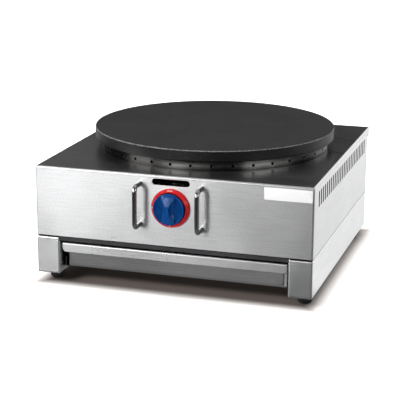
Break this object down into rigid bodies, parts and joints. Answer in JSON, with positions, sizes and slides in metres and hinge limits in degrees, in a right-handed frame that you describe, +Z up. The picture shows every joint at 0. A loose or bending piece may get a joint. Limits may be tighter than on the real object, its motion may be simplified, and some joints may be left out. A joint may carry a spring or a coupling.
{
  "type": "gas crepe maker",
  "caption": "Square stainless countertop gas crepe maker with a round cast plate on a perforated flame ring, push-and-turn tap, bow handles and a slide-out drip drawer.",
  "frame": {"origin": "middle of the footprint, on the surface that the feet stand on", "axes": "+X to the right seen from the front, +Y to the back, +Z up"},
  "size_m": [0.45, 0.4908, 0.227],
  "materials": {
    "top_sheet": "glossy stainless sheet, fine grain",
    "panel_steel": "satin stainless sheet, fine grain",
    "plinth_steel": "satin stainless sheet, fine grain",
    "drawer_steel": "satin stainless sheet",
    "ring_steel": "heat-tinted stainless strip",
    "deck_steel": "dull dark mill-finish sheet",
    "bracket_steel": "zinc-plated strip",
    "fastener_steel": "zinc-plated",
    "handle_chrome": "polished round bar",
    "cast_plate": "black, fine matt non-stick top",
    "burner_iron": "rough casting",
    "tap_brass": "machined",
    "pipe_copper": "drawn copper tube",
    "foot_rubber": "moulded, matt",
    "dial_red": "moulded, gloss",
    "knob_blue": "moulded, gloss"
  },
  "bodies": {
    "chassis": {"top_panel": "top_sheet", "front_panel": "panel_steel", "left_side_panel": "panel_steel", "right_side_panel": "panel_steel", "rear_panel": "panel_steel", "left_plinth": "plinth_steel", "right_plinth": "plinth_steel", "base_rear_panel": "plinth_steel", "flame_ring": "ring_steel", "base_deck": "deck_steel", "left_runner": "deck_steel", "right_runner": "deck_steel", "ring_legs": "bracket_steel", "burner_stand": "bracket_steel", "pilot_bracket": "bracket_steel", "foot_screws": "fastener_steel", "foot_nuts": "fastener_steel", "tap_nut": "fastener_steel", "inlet_locknut": "fastener_steel", "handle_screws": "fastener_steel", "casing_screws": "fastener_steel", "rear_panel_screws": "fastener_steel", "deck_screws": "fastener_steel", "magnet_unit": "fastener_steel", "left_handle": "handle_chrome", "right_handle": "handle_chrome", "star_burner": "burner_iron", "mixer_cap": "tap_brass", "injector": "tap_brass", "tap_body": "tap_brass", "inlet_fitting": "tap_brass", "pilot_burner": "tap_brass", "supply_pipe": "pipe_copper", "pilot_tube": "pipe_copper", "thermocouple": "pipe_copper", "front_left_foot": "foot_rubber", "front_right_foot": "foot_rubber", "rear_left_foot": "foot_rubber", "rear_right_foot": "foot_rubber", "dial_ring": "dial_red"},
    "plate": {"crepe_plate": "cast_plate"},
    "drawer": {"drip_drawer": "drawer_steel"},
    "plug": {"tap_plug": "tap_brass", "stem_spring": "fastener_steel"},
    "knob": {"control_knob": "knob_blue", "tap_stem": "fastener_steel"},
    "shutter": {"air_shutter": "bracket_steel"}
  },
  "joints": [
    {"name": "plate_lift", "type": "slide", "parent": "chassis", "child": "plate", "axis": [0, 0, 1], "range_m": [0, 0.08]},
    {"name": "drawer_slide", "type": "slide", "parent": "chassis", "child": "drawer", "axis": [0, -1, 0], "range_m": [0, 0.36]},
    {"name": "knob_turn", "type": "hinge", "parent": "chassis", "child": "plug", "pos_m": [0, -0.18463, 0.143], "axis": [0, -1, 0], "range_deg": [0, 180]},
    {"name": "knob_push", "type": "slide", "parent": "plug", "child": "knob", "axis": [0, 1, 0], "range_m": [0, 0.004], "stiffness_N_per_m": 900, "springref_m": -0.003, "deforming": ["stem_spring"]},
    {"name": "shutter_turn", "type": "hinge", "parent": "chassis", "child": "shutter", "pos_m": [0, -0.13962, 0.143], "axis": [0, 1, 0], "range_deg": [0, 60]}
  ]
}
